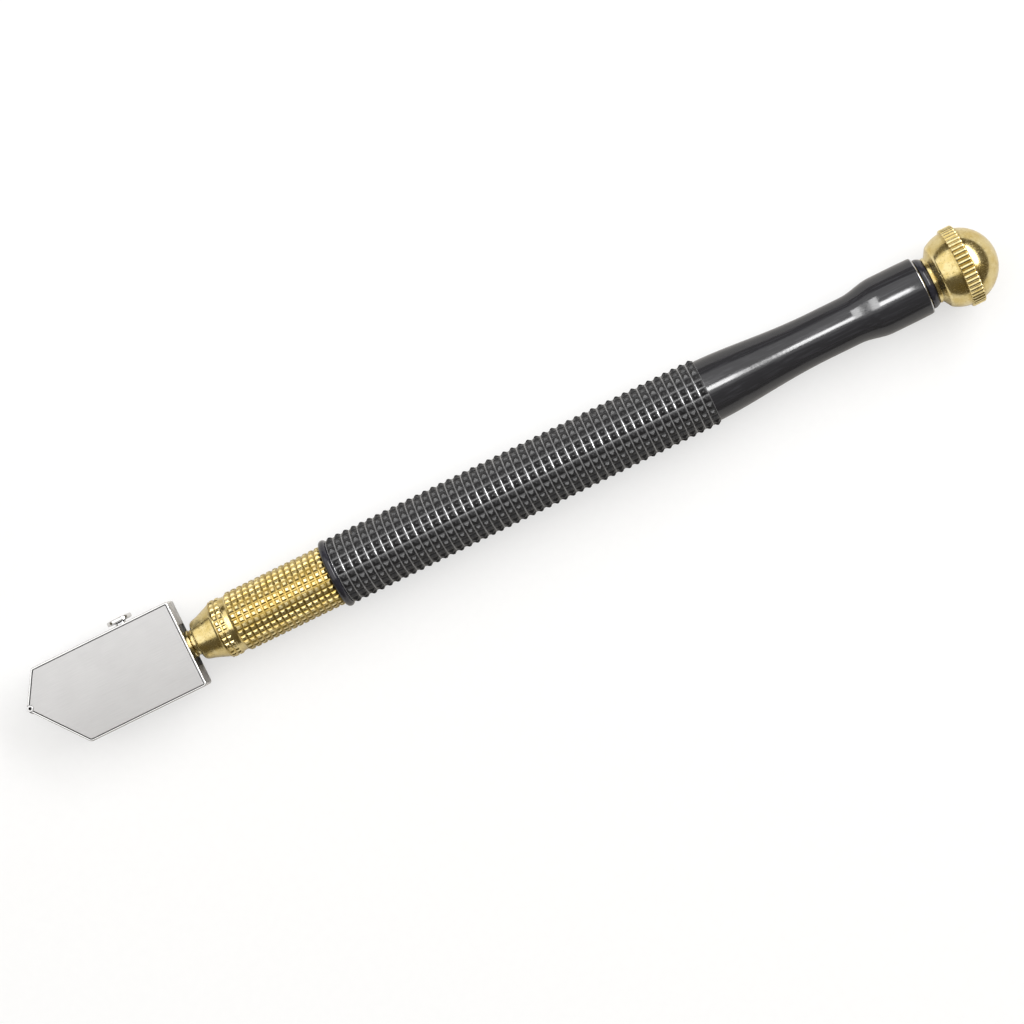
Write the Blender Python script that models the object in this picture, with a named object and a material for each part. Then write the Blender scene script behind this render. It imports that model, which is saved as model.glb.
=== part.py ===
"""An oil-fed pencil glass cutter: a wide flat head on a sprung brass stem, a brass nose,
a hollow knurled handle and a brass ball cap.

Metres, +Z up. The tool lies along X with its wheel at -X and its ball cap at +X. The head's
flat faces look up and down, and its lock screw is on the +Y side. The origin is the middle
of the whole tool's bounding box. Stations along the tool are measured from the head's tip,
radii from the tool's axis.
"""

from math import atan2, cos, degrees, pi, radians, sin, sqrt, tan

import bmesh
import bpy
from mathutils import Matrix, Vector

MM = 0.001

# The whole tool
BALL_END = 177.8 * MM
FIT = 0.05 * MM  # between pieces that rest on or slide in each other
THREAD_FIT = 0.1 * MM  # around a threaded piece, whose thread is left plain

# Head: a flat block with a blunt off-centre tip
HEAD_LENGTH = 29.3 * MM
HEAD_THICK = 5.45 * MM
SCREW_EDGE = 8.2 * MM  # from the tool's axis to the long edge with the lock screw
FREE_EDGE = 7.3 * MM  # from the tool's axis to the other long edge
TIP_Y = 2.2 * MM
SCREW_SHOULDER_X = 3.7 * MM  # where the slanted tip meets each long edge
FREE_SHOULDER_X = 7.5 * MM
CORNER_R = 0.5 * MM
FREE_CORNER_R = 0.9 * MM
RIM = 0.5 * MM  # bright rim around each face plate
PLATE_THICK = 0.45 * MM
PLATE_GAP = 0.12 * MM
PLATE_CORNER_R = 0.25 * MM

# Cutting wheel and its riveted axle
WHEEL_R = 1.15 * MM
WHEEL_THICK = 0.65 * MM
WHEEL_FLAT = 0.18 * MM  # width left flat beside the bevelled cutting edge
WHEEL_BEVEL = radians(35)
AXLE_X = 0.7 * MM
AXLE_R = 0.4 * MM
AXLE_HEAD_R = 0.575 * MM
AXLE_HEAD_DEEP = 0.35 * MM
AXLE_DIMPLE_R = 0.22 * MM
AXLE_BOSS_R = 0.75 * MM
SLOT_WIDTH = 0.85 * MM
SLOT_FLOOR_X = 2.2 * MM

# Lock screw in the head's long edge
SCREW_X = 20.3 * MM
SCREW_HEAD_R = 2.2 * MM
SCREW_HEAD_THICK = 0.85 * MM
SCREW_HEAD_LIFT = 0.35 * MM
SCREW_R = 0.95 * MM
SCREW_NOSE_R = 0.6 * MM
SCREW_NOSE_LONG = 0.55 * MM
SCREW_DRIVE_WIDTH = 0.55 * MM
SCREW_DRIVE_DEEP = 0.4 * MM

# Stem: the tube that carries the head and slides in the nose
STEM_FRONT_X = 14.0 * MM
STEM_SHANK_R = 1.6 * MM
STEM_BORE_R = 0.7 * MM
STEM_BORE_END_X = 41.2 * MM
STEM_GUIDE_R = 2.0 * MM
WASHER_R = 2.41 * MM
WASHER_BACK_X = 29.85 * MM
WASHER_SEAT_DEEP = 0.3 * MM
WASHER_SEAT_HALF = 3.85 * MM
WASHER_SEAT_WALL = 0.22 * MM
SHOULDER_X = 29.95 * MM
COLLAR_X = 30.1 * MM
COLLAR_END_X = 30.5 * MM
COLLAR_R = 2.3 * MM
RING_GROOVE_X = 35.0 * MM
RING_GROOVE_LONG = 1.1 * MM
RING_GROOVE_R = 1.45 * MM
FLANGE_X = 41.25 * MM
FLANGE_THICK = 1.15 * MM
FLANGE_R = 3.0 * MM
TAIL_END_X = 47.0 * MM
PORT_X = 40.65 * MM
PORT_R = 0.35 * MM
LOCK_SLOT_LONG = 1.5 * MM
LOCK_SLOT_FLOOR_R = 1.1 * MM
SWIVEL = radians(15)  # the head turns this far each way about the stem
SCREW_NOSE_SPREAD = radians(28)  # what the screw's nose takes up each side of its middle
LOCK_SLOT_HALF = SWIVEL + SCREW_NOSE_SPREAD

# Wicks
HEAD_WICK_R = 0.55 * MM
STEM_WICK_R = 0.55 * MM
WICK_CHANNEL_R = 0.75 * MM

# Nose (ferrule) of the handle
NOSE_X = 30.7 * MM
NOSE_R = 3.25 * MM
NOSE_CURVE = [  # its slightly hollow cone, as (station, radius)
    (31.1 * MM, 3.52 * MM),
    (32.75 * MM, 4.0 * MM),
    (34.1 * MM, 4.66 * MM),
]
MOUTH_R = 2.5 * MM
MOUTH_END_X = 32.5 * MM
SMALL_KNURL_X = 35.1 * MM
SMALL_KNURL_END_X = 36.9 * MM
SMALL_KNURL_R = 5.15 * MM
FINGER_GROOVE_R = 4.87 * MM
BRASS_KNURL_X = 38.0 * MM
KNURL_CHAMFER = 0.2 * MM
BRASS_KNURL_R = 5.28 * MM
CHAMBER_X = 40.0 * MM
CHAMBER_R = 3.6 * MM
FERRULE_SHOULDER_X = 55.9 * MM
SPIGOT_R = 4.2 * MM
SPIGOT_END_X = 63.0 * MM

# Valve parts
SEAL_INNER_R = 2.25 * MM
SEAL_OUTER_R = 3.3 * MM
SEAL_END_X = 41.2 * MM
SPRING_MEAN_R = 2.4 * MM
SPRING_WIRE_R = 0.3 * MM
SPRING_TURNS = 6.5
PLUG_X = 53.5 * MM
PLUG_END_X = 57.0 * MM
PLUG_HOLE_R = 1.2 * MM
PLUG_SLOT_WIDTH = 0.9 * MM
PLUG_SLOT_DEEP = 0.8 * MM

# Black bead between nose and grip
BEAD_X = 56.0 * MM
BEAD_LONG = 1.3 * MM
BEAD_R = 6.02 * MM
BEAD_BORE_R = SPIGOT_R + FIT

# Barrel: knurled grip, then a smooth neck with a waist
BARREL_X = 57.35 * MM
GRIP_END_X = 125.3 * MM
GRIP_R = 5.9 * MM
NECK_R = 5.36 * MM
WAIST_X = 146.2 * MM
WAIST_END_X = 151.4 * MM
WAIST_R = 4.17 * MM
FLARE_X = 157.0 * MM
FLARE_R = 5.02 * MM
BARREL_END_X = 164.6 * MM
BARREL_END_R = 4.55 * MM
END_ROUND = 0.6 * MM
RESERVOIR_R = 4.3 * MM
RESERVOIR_END_X = 122.0 * MM
OUTLET_X = 140.0 * MM
OUTLET_R = 3.0 * MM
BUSH_SEAT_X = 158.0 * MM
BUSH_SEAT_R = 3.5 * MM

# Threaded bush in the barrel's end
BUSH_FLANGE_X = 164.75 * MM
BUSH_END_X = 166.0 * MM
BUSH_FLANGE_R = 4.39 * MM
BUSH_MOUTH_R = 4.06 * MM
BUSH_BORE_R = 2.55 * MM
BUSH_RECESS_R = 3.05 * MM
BUSH_RECESS_X = 164.9 * MM

# Ball cap
STUD_X = 160.6 * MM
STUD_R = 2.45 * MM
STUD_GROOVE_X = 165.0 * MM
STUD_GROOVE_END_X = 165.9 * MM
STUD_GROOVE_R = 2.0 * MM
BALL_R = 6.5 * MM
BALL_X = BALL_END - BALL_R
COLLAR_R_FRONT = 3.95 * MM
COLLAR_R_BACK = 4.05 * MM
CAP_COLLAR_END_X = 166.45 * MM
CONE_END_X = 167.6 * MM
BELT_X = 170.55 * MM
BELT_LONG = 2.4 * MM
BELT_R = 6.9 * MM
BELT_ROUND = 0.2 * MM
CAP_RING_SECTION_R = 0.38 * MM

# Where the axis lies, so that the origin is the middle of the bounding box
WHEEL_PROUD = WHEEL_R - AXLE_X
SCREW_TOP = SCREW_EDGE + SCREW_HEAD_LIFT + SCREW_HEAD_THICK
TIP_AT_X = -(BALL_END - WHEEL_PROUD) / 2
AXIS_AT_Y = -(SCREW_TOP - FREE_EDGE) / 2

ROUND_STEPS = 40  # sides of the large round pieces
SMALL_STEPS = 24  # sides of the small round pieces
SMOOTH_ANGLE = radians(35)
MERGE = 1e-7

# Turns a piece made along X so that it stands along Z or along Y
UPRIGHT = (0, -pi / 2, 0)
SIDEWAYS = (0, 0, pi / 2)


def clear_scene():
    for obj in list(bpy.data.objects):
        bpy.data.objects.remove(obj)


def material(name, colour, roughness, metallic):
    made = bpy.data.materials.new(name)
    made.use_nodes = True
    shader = made.node_tree.nodes["Principled BSDF"]
    shader.inputs["Base Color"].default_value = (*colour, 1.0)
    shader.inputs["Roughness"].default_value = roughness
    shader.inputs["Metallic"].default_value = metallic
    made.diffuse_color = (*colour, 1.0)
    return made


def empty(name, location, parent=None):
    made = bpy.data.objects.new(name, None)
    made.location = location
    made.parent = parent
    bpy.context.collection.objects.link(made)
    return made


def finish(name, bm, parent, location, rotation, finish_material=None):
    """Turns a bmesh into an object with smooth round faces and sharp edges."""
    bmesh.ops.recalc_face_normals(bm, faces=bm.faces)
    mesh = bpy.data.meshes.new(name)
    bm.to_mesh(mesh)
    bm.free()
    mesh.shade_smooth()
    mesh.set_sharp_from_angle(angle=SMOOTH_ANGLE)
    made = bpy.data.objects.new(name, mesh)
    made.parent = parent
    made.location = location
    made.rotation_euler = rotation
    if finish_material:
        mesh.materials.append(finish_material)
    bpy.context.collection.objects.link(made)
    return made


def turned(name, outline, parent, finish_material=None, steps=ROUND_STEPS,
           location=(0, 0, 0), rotation=(0, 0, 0)):
    """A lathe-turned solid about its own X axis, from (x, radius) points.

    An outline that starts and ends on the axis is left open there; any other is closed.
    """
    bm = bmesh.new()
    verts = [bm.verts.new((x, 0, r)) for x, r in outline]
    pairs = list(zip(verts, verts[1:]))
    if outline[0][1] or outline[-1][1]:
        pairs.append((verts[-1], verts[0]))
    edges = [bm.edges.new(pair) for pair in pairs]
    bmesh.ops.spin(
        bm, geom=verts + edges, cent=(0, 0, 0), axis=(1, 0, 0), dvec=(0, 0, 0),
        angle=2 * pi, steps=steps, use_merge=True,
    )
    bmesh.ops.remove_doubles(bm, verts=bm.verts, dist=MERGE)
    return finish(name, bm, parent, location, rotation, finish_material)


def prism(name, outline, low, high, parent, finish_material=None,
          location=(0, 0, 0), rotation=(0, 0, 0)):
    """A flat outline of (x, y) points extruded from low to high along its own Z axis."""
    bm = bmesh.new()
    face = bm.faces.new([bm.verts.new((x, y, low)) for x, y in outline])
    grown = bmesh.ops.extrude_face_region(bm, geom=[face])["geom"]
    top = [v for v in grown if isinstance(v, bmesh.types.BMVert)]
    bmesh.ops.translate(bm, verts=top, vec=(0, 0, high - low))
    return finish(name, bm, parent, location, rotation, finish_material)


def cut(target, cutter):
    """Cuts the cutter out of the target, and keeps the cutter as a hidden guide."""
    cutter.hide_render = True
    cutter.display_type = "WIRE"
    modifier = target.modifiers.new(cutter.name, "BOOLEAN")
    modifier.operation = "DIFFERENCE"
    modifier.solver = "EXACT"
    modifier.object = cutter


def arc(centre_x, centre_r, radius, start, end, count):
    """Points on a circle from the start angle to the end angle, 0 pointing along +X."""
    turn = (radians(end) - radians(start)) / count
    angles = [radians(start) + turn * n for n in range(count + 1)]
    return [(centre_x + radius * cos(a), centre_r + radius * sin(a)) for a in angles]


def cylinder_outline(start, end, radius):
    return [(start, 0), (start, radius), (end, radius), (end, 0)]


def ring_outline(middle_x, middle_r, section_r, count=8):
    """The round section of an O-ring."""
    return arc(middle_x, middle_r, section_r, 0, 360, count)[:-1]


def rectangle(low_x, high_x, low_y, high_y):
    return [(low_x, low_y), (high_x, low_y), (high_x, high_y), (low_x, high_y)]


def head_corners(inset):
    """The head's five corners, with every side moved inwards by the inset."""
    corners = [
        Vector((0, TIP_Y)),
        Vector((FREE_SHOULDER_X, -FREE_EDGE)),
        Vector((HEAD_LENGTH, -FREE_EDGE)),
        Vector((HEAD_LENGTH, SCREW_EDGE)),
        Vector((SCREW_SHOULDER_X, SCREW_EDGE)),
    ]
    moved = []
    for before, corner, after in zip(corners[-1:] + corners, corners, corners[1:] + corners):
        into = (corner - before).normalized()
        out = (after - corner).normalized()
        half_turn = into.angle(out) / 2
        inwards = (out - into).normalized()
        moved.append(corner + inwards * inset / cos(half_turn))
    return moved


def rounded(corners, radii, steps=3):
    """An outline with each corner rounded to its own radius."""
    outline = []
    count = len(corners)
    for n, (corner, radius) in enumerate(zip(corners, radii)):
        into = (corner - corners[n - 1]).normalized()
        out = (corners[(n + 1) % count] - corner).normalized()
        turn = into.angle(out)
        centre = corner + (out - into).normalized() * radius / cos(turn / 2)
        start = corner - into * radius * tan(turn / 2) - centre
        for step in range(steps + 1):
            spoke = Matrix.Rotation(turn * step / steps, 2) @ start
            outline.append(tuple(centre + spoke))
    return outline


def head_outline(inset=0.0):
    if inset:
        return rounded(head_corners(inset), [PLATE_CORNER_R] * 5)
    return rounded(
        head_corners(0), [CORNER_R / 2, FREE_CORNER_R, CORNER_R, CORNER_R, CORNER_R]
    )


def wick_path():
    """The two ends of the oil channel in the head: at the stem and just behind the wheel."""
    back = Vector((STEM_FRONT_X - 2 * FIT, 0, 0))
    front = Vector((AXLE_X + WHEEL_R + 2 * FIT, TIP_Y, 0))
    return back, front


def slanted(name, radius, start, end, parent, finish_material=None):
    """A cylinder from one point to another in the head's middle plane."""
    along = end - start
    heading = atan2(along.y, along.x)
    return turned(
        name, cylinder_outline(0, along.length, radius), parent, finish_material,
        steps=SMALL_STEPS, location=start, rotation=(0, 0, heading),
    )


def make_head_frame(head, chrome):
    half = HEAD_THICK / 2
    frame = prism("head_frame", head_outline(), -half, half, head, chrome)
    for side, name in ((1, "front"), (-1, "back")):
        floor = half - PLATE_THICK - FIT
        pocket = prism(
            f"cut_{name}_pocket", head_outline(RIM), *sorted((side * floor, side * 2 * half)), head
        )
        boss = turned(
            f"cut_{name}_boss", cylinder_outline(-3 * half, 3 * half, AXLE_BOSS_R), head,
            steps=SMALL_STEPS, location=(AXLE_X, TIP_Y, 0), rotation=UPRIGHT,
        )
        cut(pocket, boss)
        cut(frame, pocket)
    slot = prism(
        "cut_wheel_slot", rectangle(-AXLE_X, SLOT_FLOOR_X, -FREE_EDGE, SCREW_EDGE),
        -SLOT_WIDTH / 2, SLOT_WIDTH / 2, head,
    )
    cut(frame, slot)
    cut(frame, turned(
        "cut_axle_hole", axle_outline(FIT), head,
        steps=SMALL_STEPS, location=(AXLE_X, TIP_Y, 0), rotation=UPRIGHT,
    ))
    seat = prism(
        "cut_washer_seat",
        rectangle(HEAD_LENGTH - WASHER_SEAT_DEEP, 2 * HEAD_LENGTH, -WASHER_SEAT_HALF, WASHER_SEAT_HALF),
        -half + WASHER_SEAT_WALL, half - WASHER_SEAT_WALL, head,
    )
    cut(frame, seat)
    cut(frame, turned(
        "cut_stem_socket",
        cylinder_outline(STEM_FRONT_X - FIT, 2 * HEAD_LENGTH, STEM_SHANK_R + THREAD_FIT),
        head, steps=SMALL_STEPS,
    ))
    cut(frame, turned(
        "cut_screw_hole", cylinder_outline(0, 2 * SCREW_EDGE, SCREW_R + THREAD_FIT),
        head, steps=SMALL_STEPS, location=(SCREW_X, 0, 0), rotation=SIDEWAYS,
    ))
    back, front = wick_path()
    run = (front - back).normalized() * STEM_SHANK_R
    cut(frame, slanted("cut_wick_channel", WICK_CHANNEL_R, back - run, front + run, head))
    return frame


def make_face_plate(name, side, head, satin):
    outer = side * HEAD_THICK / 2
    inner = side * (HEAD_THICK / 2 - PLATE_THICK)
    plate = prism(name, head_outline(RIM + PLATE_GAP), min(outer, inner), max(outer, inner), head, satin)
    cut(plate, turned(
        f"cut_{name}_notch", cylinder_outline(-HEAD_THICK, HEAD_THICK, AXLE_BOSS_R + PLATE_GAP),
        head, steps=SMALL_STEPS, location=(AXLE_X, TIP_Y, 0), rotation=UPRIGHT,
    ))
    return plate


def axle_outline(clearance):
    """Half the section of the rivet: a thin shank between two formed heads."""
    end = HEAD_THICK / 2 + (HEAD_THICK if clearance else 0)
    neck = HEAD_THICK / 2 - AXLE_HEAD_DEEP
    head_r = AXLE_HEAD_R + clearance
    shank_r = AXLE_R + clearance
    neck -= clearance
    return [
        (-end, 0), (-end, head_r), (-neck, head_r), (-neck, shank_r),
        (neck, shank_r), (neck, head_r), (end, head_r), (end, 0),
    ]


def make_wheel_axle(head, steel):
    dimple = HEAD_THICK / 2 - AXLE_HEAD_DEEP
    outline = axle_outline(0)
    outline[:1] = [(-dimple, 0), (-dimple, AXLE_DIMPLE_R), (-HEAD_THICK / 2, AXLE_DIMPLE_R)]
    outline[-1:] = [(HEAD_THICK / 2, AXLE_DIMPLE_R), (dimple, AXLE_DIMPLE_R), (dimple, 0)]
    return turned(
        "wheel_axle", outline, head, steel, steps=SMALL_STEPS,
        location=(AXLE_X, TIP_Y, 0), rotation=UPRIGHT,
    )


def make_cutting_wheel(wheel, carbide):
    half = WHEEL_THICK / 2
    bore = AXLE_R + FIT
    shoulder_r = WHEEL_R - (half - WHEEL_FLAT / 2) * tan(WHEEL_BEVEL)
    outline = [
        (-half, bore), (-half, shoulder_r), (0, WHEEL_R), (half, shoulder_r), (half, bore),
    ]
    return turned("cutting_wheel", outline, wheel, carbide, rotation=UPRIGHT)


def make_lock_screw(screw, steel):
    """Made along its own X axis, which points out of the head, from its nose up."""
    nose = LOCK_SLOT_FLOOR_R + FIT
    tip = nose + SCREW_NOSE_LONG
    under = SCREW_EDGE + SCREW_HEAD_LIFT
    edge = SCREW_HEAD_THICK / 4
    outline = [
        (nose, 0), (nose, SCREW_NOSE_R), (tip, SCREW_NOSE_R), (tip + edge, SCREW_R),
        (under, SCREW_R), (under, SCREW_HEAD_R - edge), (under + edge, SCREW_HEAD_R),
        (SCREW_TOP - edge, SCREW_HEAD_R), (SCREW_TOP, SCREW_HEAD_R - edge), (SCREW_TOP, 0),
    ]
    made = turned("lock_screw", outline, screw, steel, steps=32, rotation=SIDEWAYS)
    drive = prism(
        "cut_screw_drive",
        rectangle(-2 * SCREW_HEAD_R, 2 * SCREW_HEAD_R, SCREW_TOP - SCREW_DRIVE_DEEP, 2 * SCREW_TOP),
        -SCREW_DRIVE_WIDTH / 2, SCREW_DRIVE_WIDTH / 2, screw,
    )
    cut(made, drive)
    return made


def make_swivel_washer(head, brass):
    front = HEAD_LENGTH - WASHER_SEAT_DEEP + FIT
    bore = STEM_SHANK_R + FIT
    return turned(
        "swivel_washer",
        [(front, bore), (front, WASHER_R), (WASHER_BACK_X, WASHER_R), (WASHER_BACK_X, bore)],
        head, brass, steps=32,
    )


def make_stem(stem, brass):
    groove_end = RING_GROOVE_X + RING_GROOVE_LONG
    flange_end = FLANGE_X + FLANGE_THICK
    outline = [
        (STEM_FRONT_X, 0), (STEM_FRONT_X, STEM_SHANK_R),
        (SHOULDER_X, STEM_SHANK_R), (SHOULDER_X, STEM_GUIDE_R),
        (COLLAR_X, STEM_GUIDE_R), (COLLAR_X, COLLAR_R),
        (COLLAR_END_X, COLLAR_R), (COLLAR_END_X, STEM_GUIDE_R),
        (RING_GROOVE_X, STEM_GUIDE_R), (RING_GROOVE_X, RING_GROOVE_R),
        (groove_end, RING_GROOVE_R), (groove_end, STEM_GUIDE_R),
        (FLANGE_X, STEM_GUIDE_R), (FLANGE_X, FLANGE_R),
        (flange_end, FLANGE_R), (flange_end, STEM_SHANK_R),
        (TAIL_END_X, STEM_SHANK_R), (TAIL_END_X, 0),
    ]
    solid = turned("stem", outline, stem, brass, steps=32)
    cut(solid, turned(
        "cut_stem_bore", cylinder_outline(0, STEM_BORE_END_X, STEM_BORE_R), stem, steps=16,
    ))
    cut(solid, turned(
        "cut_oil_port", cylinder_outline(-FLANGE_R, FLANGE_R, PORT_R), stem,
        steps=12, location=(PORT_X, 0, 0), rotation=SIDEWAYS,
    ))
    cut(solid, make_lock_slot(stem))
    return solid


def make_lock_slot(stem):
    """A sector of a groove around the stem, where the lock screw's nose can swing."""
    outer = 2 * STEM_SHANK_R
    steps = 6
    angles = [LOCK_SLOT_HALF * (2 * n / steps - 1) for n in range(steps + 1)]
    outline = [(outer * sin(a), outer * cos(a)) for a in angles]
    outline += [(LOCK_SLOT_FLOOR_R * sin(a), LOCK_SLOT_FLOOR_R * cos(a)) for a in reversed(angles)]
    return prism(
        "cut_lock_slot", outline, -LOCK_SLOT_LONG / 2, LOCK_SLOT_LONG / 2, stem,
        location=(SCREW_X, 0, 0), rotation=UPRIGHT,
    )


def make_wicks(head, stem, cotton):
    back, front = wick_path()
    towards_wheel = (front - back).normalized()
    slanted("head_wick", HEAD_WICK_R, back + towards_wheel * HEAD_WICK_R, front, head, cotton)
    turned(
        "stem_wick", cylinder_outline(STEM_FRONT_X, STEM_BORE_END_X - FIT, STEM_WICK_R),
        stem, cotton, steps=12,
    )


def make_stem_o_ring(stem, rubber):
    outer_r = STEM_GUIDE_R + FIT / 2
    inner_r = RING_GROOVE_R + FIT / 2
    middle_x = RING_GROOVE_X + RING_GROOVE_LONG / 2
    turned(
        "stem_o_ring", ring_outline(middle_x, (outer_r + inner_r) / 2, (outer_r - inner_r) / 2),
        stem, rubber, steps=SMALL_STEPS,
    )


def make_ferrule(handle, brass):
    guide_r = STEM_GUIDE_R + FIT
    outline = [
        (NOSE_X, MOUTH_R), (NOSE_X, NOSE_R), *NOSE_CURVE, (SMALL_KNURL_X, SMALL_KNURL_R),
        (SMALL_KNURL_END_X, SMALL_KNURL_R), (SMALL_KNURL_END_X + KNURL_CHAMFER, FINGER_GROOVE_R),
        (BRASS_KNURL_X - KNURL_CHAMFER, FINGER_GROOVE_R), (BRASS_KNURL_X, BRASS_KNURL_R),
        (FERRULE_SHOULDER_X, BRASS_KNURL_R), (FERRULE_SHOULDER_X, SPIGOT_R),
        (SPIGOT_END_X, SPIGOT_R), (SPIGOT_END_X, CHAMBER_R),
        (CHAMBER_X, CHAMBER_R), (CHAMBER_X, guide_r),
        (MOUTH_END_X, guide_r), (MOUTH_END_X, MOUTH_R),
    ]
    return turned("ferrule", outline, handle, brass)


def make_valve_seal(handle, rubber):
    start = CHAMBER_X + FIT
    end = SEAL_END_X
    return turned(
        "valve_seal",
        [(start, SEAL_INNER_R), (start, SEAL_OUTER_R), (end, SEAL_OUTER_R), (end, SEAL_INNER_R)],
        handle, rubber, steps=32,
    )


def make_stem_spring(handle, steel):
    """A compression spring: a round wire swept along a helix, with closed ends."""
    start = FLANGE_X + FLANGE_THICK + FIT + SPRING_WIRE_R
    length = PLUG_X - FIT - SPRING_WIRE_R - start
    around, sides = 12, 5
    count = round(SPRING_TURNS * around)
    slope = length / (2 * pi * SPRING_TURNS * SPRING_MEAN_R)
    bm = bmesh.new()
    rings = []
    for n in range(count + 1):
        turn = 2 * pi * n / around
        outward = Vector((0, cos(turn), sin(turn)))
        along = Vector((slope, -sin(turn), cos(turn))).normalized()
        middle = outward * SPRING_MEAN_R + Vector((start + length * n / count, 0, 0))
        across = along.cross(outward)
        rings.append([
            bm.verts.new(middle + (outward * cos(a) + across * sin(a)) * SPRING_WIRE_R)
            for a in (2 * pi * k / sides for k in range(sides))
        ])
    for ring, following in zip(rings, rings[1:]):
        for k in range(sides):
            after = (k + 1) % sides
            bm.faces.new((ring[k], ring[after], following[after], following[k]))
    bm.faces.new(rings[0])
    bm.faces.new(rings[-1])
    return finish("stem_spring", bm, handle, (0, 0, 0), (0, 0, 0), steel)


def make_valve_plug(handle, brass):
    outer = CHAMBER_R - THREAD_FIT
    plug = turned(
        "valve_plug",
        [(PLUG_X, PLUG_HOLE_R), (PLUG_X, outer), (PLUG_END_X, outer), (PLUG_END_X, PLUG_HOLE_R)],
        handle, brass, steps=32,
    )
    cut(plug, prism(
        "cut_plug_slot",
        rectangle(PLUG_END_X - PLUG_SLOT_DEEP, 2 * PLUG_END_X, -2 * outer, 2 * outer),
        -PLUG_SLOT_WIDTH / 2, PLUG_SLOT_WIDTH / 2, handle,
    ))
    return plug


def make_front_ring(handle, rubber):
    crown = BEAD_LONG / 2
    middle = BEAD_X + crown
    outline = arc(middle, BEAD_R - crown, crown, 180, 0, 8)
    outline += [(BEAD_X + BEAD_LONG, BEAD_BORE_R), (BEAD_X, BEAD_BORE_R)]
    return turned("front_ring", outline, handle, rubber)


def eased(start_x, start_r, end_x, end_r, count):
    """Points after the start on a smooth S-shaped run between two radii."""
    shares = [n / count for n in range(1, count + 1)]
    return [
        (start_x + (end_x - start_x) * s, start_r + (end_r - start_r) * (1 - cos(pi * s)) / 2)
        for s in shares
    ]


def make_barrel(handle, black):
    outline = [(BARREL_X, SPIGOT_R + THREAD_FIT), (BARREL_X, GRIP_R), (GRIP_END_X, GRIP_R)]
    outline += [(GRIP_END_X, NECK_R)]
    outline += eased(GRIP_END_X, NECK_R, WAIST_X, WAIST_R, 6)
    outline += [(WAIST_END_X, WAIST_R)]
    outline += eased(WAIST_END_X, WAIST_R, FLARE_X, FLARE_R, 4)
    outline += arc(BARREL_END_X - END_ROUND, FLARE_R - END_ROUND, END_ROUND, 90, 30, 3)
    outline += [(BARREL_END_X, BARREL_END_R - END_ROUND / 4)]
    outline += [
        (BARREL_END_X, BUSH_SEAT_R), (BUSH_SEAT_X, BUSH_SEAT_R), (BUSH_SEAT_X, OUTLET_R),
        (OUTLET_X, OUTLET_R), (RESERVOIR_END_X, RESERVOIR_R),
    ]
    return turned("barrel", outline, handle, black)


def make_end_bush(handle, black):
    shank = BUSH_SEAT_R - THREAD_FIT
    outline = [
        (BUSH_SEAT_X + FIT, BUSH_BORE_R), (BUSH_SEAT_X + FIT, shank), (BUSH_FLANGE_X, shank),
        (BUSH_FLANGE_X, BUSH_FLANGE_R), (BUSH_END_X, BUSH_MOUTH_R),
        (BUSH_END_X, BUSH_RECESS_R), (BUSH_RECESS_X, BUSH_RECESS_R), (BUSH_RECESS_X, BUSH_BORE_R),
    ]
    return turned("end_bush", outline, handle, black)


def ball_angle(station):
    """The ball's polar angle in degrees at a station, 0 pointing along +X."""
    offset = station - BALL_X
    return degrees(atan2(sqrt(BALL_R**2 - offset**2), offset))


def make_ball_cap(cap, brass):
    belt_end_x = BELT_X + BELT_LONG
    front = BUSH_END_X + FIT
    outline = [
        (STUD_X, 0), (STUD_X, STUD_R), (STUD_GROOVE_X, STUD_R), (STUD_GROOVE_X, STUD_GROOVE_R),
        (STUD_GROOVE_END_X, STUD_GROOVE_R), (STUD_GROOVE_END_X, STUD_R), (front, STUD_R),
        (front, COLLAR_R_FRONT), (CAP_COLLAR_END_X, COLLAR_R_BACK),
    ]
    outline += arc(BALL_X, 0, BALL_R, ball_angle(CONE_END_X), ball_angle(BELT_X), 4)
    outline += [
        (BELT_X, BELT_R - BELT_ROUND), (BELT_X + BELT_ROUND, BELT_R),
        (belt_end_x - BELT_ROUND, BELT_R), (belt_end_x, BELT_R - BELT_ROUND),
    ]
    outline += arc(BALL_X, 0, BALL_R, ball_angle(belt_end_x), 0, 7)
    outline[-1] = (BALL_END, 0)
    return turned("ball_cap", outline, cap, brass)


def make_cap_o_ring(cap_lift, rubber):
    middle_x = (STUD_GROOVE_X + STUD_GROOVE_END_X) / 2
    middle_r = STUD_GROOVE_R + FIT + CAP_RING_SECTION_R
    turned(
        "cap_o_ring", ring_outline(middle_x, middle_r, CAP_RING_SECTION_R),
        cap_lift, rubber, steps=SMALL_STEPS,
    )


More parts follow.
